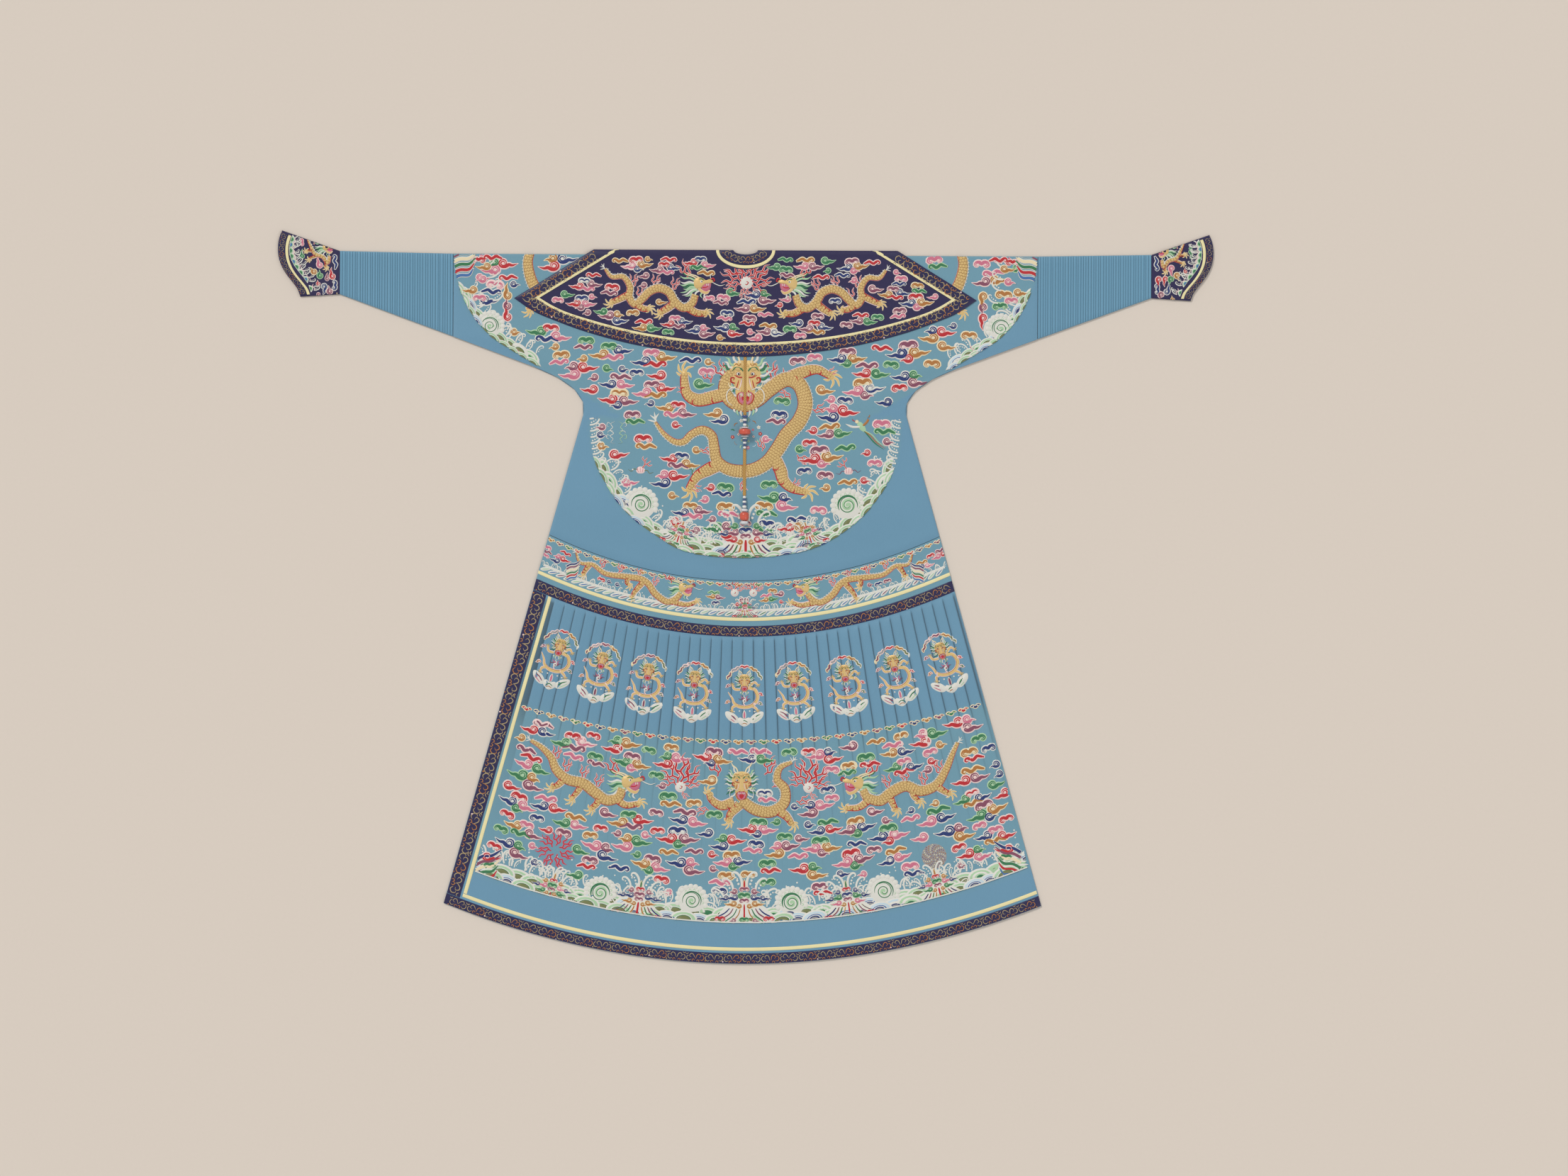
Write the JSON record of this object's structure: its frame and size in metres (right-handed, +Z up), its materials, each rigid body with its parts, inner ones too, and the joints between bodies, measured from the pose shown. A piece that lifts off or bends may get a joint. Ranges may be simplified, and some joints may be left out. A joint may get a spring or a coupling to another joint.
{
  "type": "court robe",
  "caption": "Flared court robe laid flat with its back up: winged collar, ribbed sleeves with hoof cuffs, waistband, pleated skirt, brocade edgings and a beaded neck cord.",
  "frame": {"origin": "centre of the robe's footprint, on the surface it lies on", "axes": "+X to the right sleeve as seen from above, +Y to the shoulders and collar, +Z up off the surface"},
  "size_m": [1.92, 1.501, 0.0329],
  "materials": {
    "blue_silk": "embroidered silk",
    "ribbed_silk": "ribbed silk",
    "navy_satin": "satin",
    "navy_brocade": "gold brocade",
    "pale_piping": "satin",
    "gold_braid": "silk braid",
    "coral": "polished coral",
    "pearl": "pearl",
    "blue_glass": "opaque glass"
  },
  "bodies": {
    "root": {"collar_back": "navy_satin", "collar_edging": "navy_brocade", "collar_front_left": "navy_satin", "collar_front_middle": "navy_satin", "collar_front_right": "navy_satin", "collar_piping": "pale_piping", "coral_1": "coral", "coral_2": "coral", "cuff_edging_left": "navy_brocade", "cuff_edging_right": "navy_brocade", "cuff_left": "navy_satin", "cuff_piping_left": "pale_piping", "cuff_piping_right": "pale_piping", "cuff_right": "navy_satin", "glass_cup_1": "blue_glass", "glass_disc_1": "blue_glass", "glass_disc_2": "blue_glass", "glass_disc_3": "blue_glass", "glass_disc_4": "blue_glass", "glass_disc_5": "blue_glass", "hem_edging": "navy_brocade", "hem_piping": "pale_piping", "jacket_back": "blue_silk", "jacket_front": "blue_silk", "neck_cord_lower": "gold_braid", "neck_cord_upper": "gold_braid", "neck_piping": "pale_piping", "neckband": "navy_brocade", "pearl_1": "pearl", "pearl_2": "pearl", "pearl_3": "pearl", "pearl_4": "pearl", "pearl_5": "pearl", "pearl_6": "pearl", "pearl_7": "pearl", "pearl_8": "pearl", "petal_cap_1": "pearl", "petal_cap_2": "pearl", "petal_cap_3": "pearl", "petal_cap_4": "pearl", "side_edging": "navy_brocade", "side_piping": "pale_piping", "skirt_back": "blue_silk", "skirt_front": "blue_silk", "sleeve_left": "ribbed_silk", "sleeve_right": "ribbed_silk", "waist_edging": "navy_brocade", "waist_piping": "pale_piping", "waistband_back": "blue_silk", "waistband_front": "blue_silk"}
  },
  "joints": []
}
